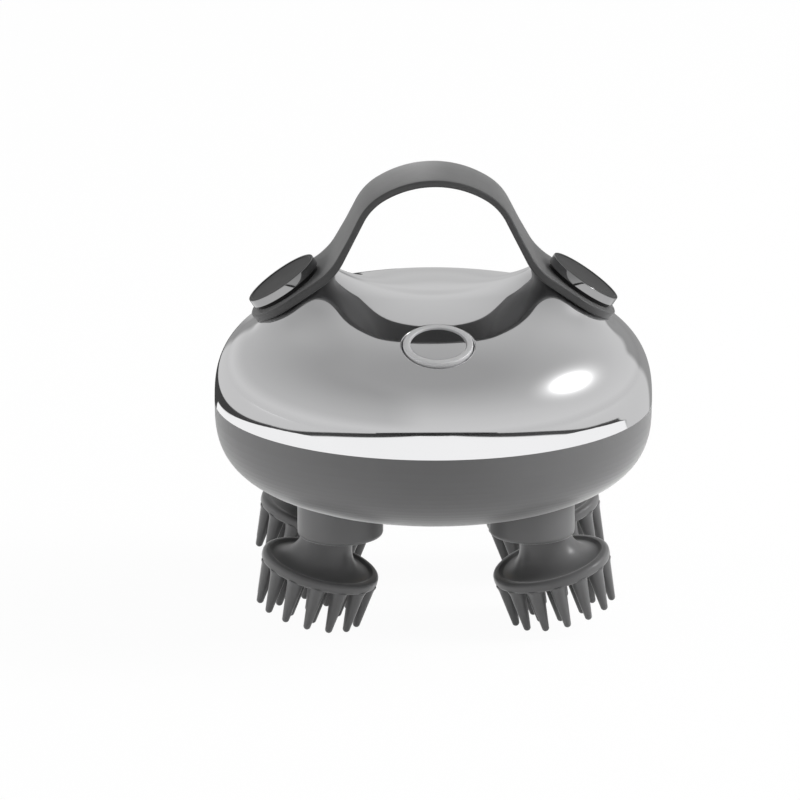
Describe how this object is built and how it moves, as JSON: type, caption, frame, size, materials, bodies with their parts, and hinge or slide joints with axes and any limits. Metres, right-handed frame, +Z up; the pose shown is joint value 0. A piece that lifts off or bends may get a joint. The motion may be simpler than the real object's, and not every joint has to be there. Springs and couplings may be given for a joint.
{
  "type": "electric scalp massager",
  "caption": "Round domed massager body with an arched strap handle, a push button on top and tilted, geared bristle heads that turn under collars.",
  "frame": {"origin": "on the table under the middle of the round body, level with the lowest bristle tips", "axes": "+Z up through the crown, +X to the right-hand pair of heads, -Y to the front, where the button is"},
  "size_m": [0.09, 0.09, 0.0913],
  "materials": {
    "plated_shell": "mirror-like electroplated grey over plastic",
    "case_satin": "satin mid-grey moulded plastic",
    "silicone": "matt grey silicone",
    "head_silicone": "matt grey silicone",
    "dark_gloss": "dark glossy plastic",
    "bright_trim": "bright plated ring",
    "black_rubber": "black rubber",
    "black_plastic": "black moulded plastic",
    "core_plastic": "dark grey moulded plastic",
    "steel": "bright steel",
    "brass": "turned brass",
    "bronze": "sintered bronze",
    "nylon": "natural white gear plastic",
    "board_green": "green solder mask",
    "battery_wrap": "blue film wrap",
    "gold_contact": "gold-plated contact"
  },
  "bodies": {
    "housing": {"top_shell": "plated_shell", "lower_case": "case_satin", "case_seal": "black_rubber", "case_screws": "steel", "strap": "silicone", "strap_cap_left": "dark_gloss", "strap_cap_right": "dark_gloss", "cap_screws": "steel", "button_diaphragm": "silicone", "tact_switch": "steel", "control_board": "board_green", "board_screws": "steel", "battery": "battery_wrap", "battery_tray": "black_plastic", "motor_can": "steel", "motor_screws": "steel", "gear_plate": "black_plastic", "plate_screws": "steel", "gear_axle": "steel", "upper_bushes": "bronze", "lower_bushes": "bronze", "shaft_seals": "black_rubber", "charge_contacts": "gold_contact"},
    "button": {"button_cap": "dark_gloss", "button_ring": "bright_trim", "switch_plunger": "black_plastic"},
    "motor_rotor": {"motor_shaft": "steel", "motor_pinion": "brass"},
    "sun": {"sun_gear": "nylon"},
    "head_front_left": {"output_gear_front_left": "nylon", "bent_shaft_front_left": "steel", "head_core_front_left": "core_plastic", "massage_head_front_left": "head_silicone"},
    "head_front_right": {"output_gear_front_right": "nylon", "bent_shaft_front_right": "steel", "head_core_front_right": "core_plastic", "massage_head_front_right": "head_silicone"},
    "head_rear_left": {"output_gear_rear_left": "nylon", "bent_shaft_rear_left": "steel", "head_core_rear_left": "core_plastic", "massage_head_rear_left": "head_silicone"},
    "head_rear_right": {"output_gear_rear_right": "nylon", "bent_shaft_rear_right": "steel", "head_core_rear_right": "core_plastic", "massage_head_rear_right": "head_silicone"}
  },
  "joints": [
    {"name": "sun_spin", "type": "hinge", "parent": "housing", "child": "sun", "pos_m": [0, 0, 0.03916], "axis": [0, 0, 1], "continuous": true},
    {"name": "motor_spin", "type": "hinge", "parent": "housing", "child": "motor_rotor", "pos_m": [0, 0.018, 0.04286], "axis": [0, 0, 1], "continuous": true},
    {"name": "head_front_left_spin", "type": "hinge", "parent": "housing", "child": "head_front_left", "pos_m": [-0.01952, -0.01952, 0.02856], "axis": [0, 0, 1], "continuous": true},
    {"name": "head_front_right_spin", "type": "hinge", "parent": "housing", "child": "head_front_right", "pos_m": [0.01952, -0.01952, 0.02856], "axis": [0, 0, 1], "continuous": true},
    {"name": "head_rear_left_spin", "type": "hinge", "parent": "housing", "child": "head_rear_left", "pos_m": [-0.01952, 0.01952, 0.02856], "axis": [0, 0, 1], "continuous": true},
    {"name": "head_rear_right_spin", "type": "hinge", "parent": "housing", "child": "head_rear_right", "pos_m": [0.01952, 0.01952, 0.02856], "axis": [0, 0, 1], "continuous": true},
    {"name": "button_press", "type": "slide", "parent": "housing", "child": "button", "axis": [0, 0.3194, -0.9476], "range_m": [0, 0.0005], "stiffness_N_per_m": 1500, "springref_m": -0.0003}
  ],
  "couplings": [
    {"joint": "motor_spin", "follows": "sun_spin", "ratio": -5},
    {"joint": "head_front_left_spin", "follows": "sun_spin", "ratio": -1.2258},
    {"joint": "head_front_right_spin", "follows": "sun_spin", "ratio": -1.2258},
    {"joint": "head_rear_left_spin", "follows": "sun_spin", "ratio": -1.2258},
    {"joint": "head_rear_right_spin", "follows": "sun_spin", "ratio": -1.2258}
  ]
}
